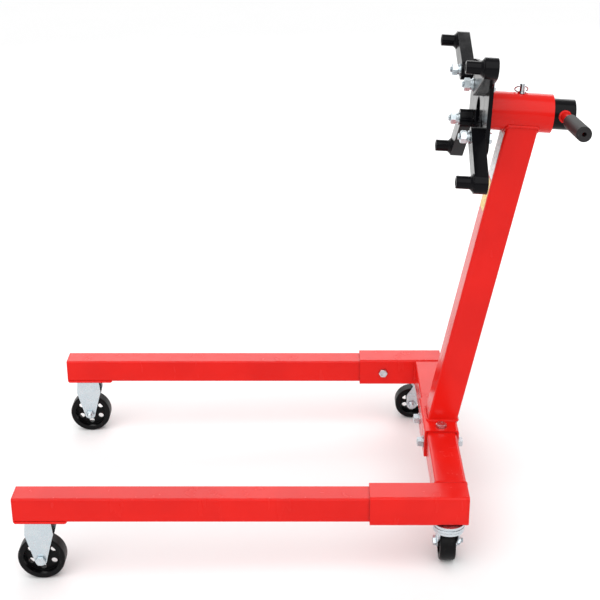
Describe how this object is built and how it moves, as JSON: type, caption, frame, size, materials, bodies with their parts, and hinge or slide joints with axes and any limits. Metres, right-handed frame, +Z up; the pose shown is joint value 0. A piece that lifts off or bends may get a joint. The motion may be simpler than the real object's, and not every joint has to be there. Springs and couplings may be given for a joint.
{
  "type": "engine stand",
  "caption": "Rolling engine stand: U-shaped square-tube chassis on fixed front and swivel rear casters, raked mast, rotating head with slotted plate, adjustable arms and side handle.",
  "frame": {"origin": "on the floor, under the middle of the stand's overall box", "axes": "+X along the legs to the rear, where the mast and handle are; +Y to the right of a person who stands behind the stand and faces the front; +Z up"},
  "size_m": [1.0822, 0.671, 0.9482],
  "materials": {
    "red_paint": "gloss",
    "black_paint": "gloss",
    "zinc": "satin",
    "chrome": "polished",
    "wheel_black": "satin",
    "grip_rubber": "matte",
    "label_white": "gloss",
    "label_yellow": "gloss"
  },
  "bodies": {
    "chassis": {"front_axle_nuts": "zinc", "front_axles": "zinc", "front_caster_pads": "red_paint", "front_fork_bolts": "zinc", "head_tube": "red_paint", "left_front_fork": "zinc", "left_leg": "red_paint", "left_leg_sleeve": "red_paint", "leg_caps": "red_paint", "leg_lock_bolts": "zinc", "leg_nuts": "zinc", "lower_label": "label_yellow", "mast": "red_paint", "mast_saddle": "red_paint", "rear_caster_stems": "zinc", "rear_cross_tube": "red_paint", "rear_races": "zinc", "rear_stem_nuts": "zinc", "right_front_fork": "zinc", "right_leg": "red_paint", "right_leg_sleeve": "red_paint", "saddle_bolts": "zinc", "saddle_nuts": "zinc", "saddle_washers": "zinc", "sleeve_caps": "red_paint", "upper_label": "label_white"},
    "left_front_roller": {"left_front_wheel": "wheel_black"},
    "left_swivel": {"left_rear_fork": "zinc", "left_swivel_balls": "zinc", "left_rear_axle": "zinc"},
    "left_rear_roller": {"left_rear_wheel": "wheel_black"},
    "right_front_roller": {"right_front_wheel": "wheel_black"},
    "right_swivel": {"right_rear_fork": "zinc", "right_swivel_balls": "zinc", "right_rear_axle": "zinc"},
    "right_rear_roller": {"right_rear_wheel": "wheel_black"},
    "head": {"head_shaft": "black_paint", "mounting_plate": "black_paint", "handle_bar": "red_paint", "handle_grip": "grip_rubber"},
    "pin": {"lock_pin": "chrome"},
    "pull_ring": {"lock_ring": "chrome"},
    "clamp_upper_right": {"clamp_bolt_upper_right": "zinc", "clamp_nut_upper_right": "zinc"},
    "swing_upper_right": {"arm_upper_right": "black_paint", "finger_upper_right": "black_paint"},
    "clamp_upper_left": {"clamp_bolt_upper_left": "zinc", "clamp_nut_upper_left": "zinc"},
    "swing_upper_left": {"arm_upper_left": "black_paint", "finger_upper_left": "black_paint"},
    "clamp_lower_right": {"clamp_bolt_lower_right": "zinc", "clamp_nut_lower_right": "zinc"},
    "swing_lower_right": {"arm_lower_right": "black_paint", "finger_lower_right": "black_paint"},
    "clamp_lower_left": {"clamp_bolt_lower_left": "zinc", "clamp_nut_lower_left": "zinc"},
    "swing_lower_left": {"arm_lower_left": "black_paint", "finger_lower_left": "black_paint"}
  },
  "joints": [
    {"name": "left_front_roll", "type": "hinge", "parent": "chassis", "child": "left_front_roller", "pos_m": [-0.49606, -0.2955, 0.04553], "axis": [0, 1, 0], "continuous": true},
    {"name": "left_caster_swivel", "type": "hinge", "parent": "chassis", "child": "left_swivel", "pos_m": [0.2779, -0.3055, 0.087], "axis": [0.0355, 0, 0.9994], "continuous": true},
    {"name": "left_rear_roll", "type": "hinge", "parent": "left_swivel", "child": "left_rear_roller", "pos_m": [0.27616, -0.2775, 0.03803], "axis": [0.9994, 0, -0.0355], "continuous": true},
    {"name": "right_front_roll", "type": "hinge", "parent": "chassis", "child": "right_front_roller", "pos_m": [-0.49606, 0.2955, 0.04553], "axis": [0, 1, 0], "continuous": true},
    {"name": "right_caster_swivel", "type": "hinge", "parent": "chassis", "child": "right_swivel", "pos_m": [0.2779, 0.3055, 0.087], "axis": [0.0355, 0, 0.9994], "continuous": true},
    {"name": "right_rear_roll", "type": "hinge", "parent": "right_swivel", "child": "right_rear_roller", "pos_m": [0.24817, 0.3055, 0.03903], "axis": [0, 1, 0], "continuous": true},
    {"name": "head_turn", "type": "hinge", "parent": "chassis", "child": "head", "pos_m": [0.37906, 0, 0.80576], "axis": [0.9955, 0, -0.0947], "continuous": true},
    {"name": "pin_lift", "type": "slide", "parent": "chassis", "child": "pin", "axis": [0.0947, 0, 0.9955], "range_m": [0, 0.03]},
    {"name": "ring_flip", "type": "hinge", "parent": "pin", "child": "pull_ring", "pos_m": [0.44148, 0, 0.84955], "axis": [0.9955, 0, -0.0947], "range_deg": [0, 260]},
    {"name": "upper_right_clamp_slide", "type": "slide", "parent": "head", "child": "clamp_upper_right", "axis": [0.028, 0.9553, 0.2944], "range_m": [-0.067, 0.001]},
    {"name": "upper_right_arm_swing", "type": "hinge", "parent": "clamp_upper_right", "child": "swing_upper_right", "pos_m": [0.3631, 0.12258, 0.85345], "axis": [0.9955, 0, -0.0947], "range_deg": [-20, 55]},
    {"name": "upper_left_clamp_slide", "type": "slide", "parent": "head", "child": "clamp_upper_left", "axis": [0.0532, -0.8271, 0.5596], "range_m": [-0.0419, 0.0261]},
    {"name": "upper_left_arm_swing", "type": "hinge", "parent": "clamp_upper_left", "child": "swing_upper_left", "pos_m": [0.36497, -0.08302, 0.87308], "axis": [0.9955, 0, -0.0947], "range_deg": [-55, 20]},
    {"name": "lower_right_clamp_slide", "type": "slide", "parent": "head", "child": "clamp_lower_right", "axis": [-0.0532, 0.8271, -0.5596], "range_m": [-0.0207, 0.0473]},
    {"name": "lower_right_arm_swing", "type": "hinge", "parent": "clamp_lower_right", "child": "swing_lower_right", "pos_m": [0.35525, 0.068, 0.77091], "axis": [0.9955, 0, -0.0947], "range_deg": [-55, 20]},
    {"name": "lower_left_clamp_slide", "type": "slide", "parent": "head", "child": "clamp_lower_left", "axis": [-0.028, -0.9553, -0.2944], "range_m": [-0.0538, 0.0142]},
    {"name": "lower_left_arm_swing", "type": "hinge", "parent": "clamp_lower_left", "child": "swing_lower_left", "pos_m": [0.35636, -0.10745, 0.78256], "axis": [0.9955, 0, -0.0947], "range_deg": [-20, 55]}
  ]
}
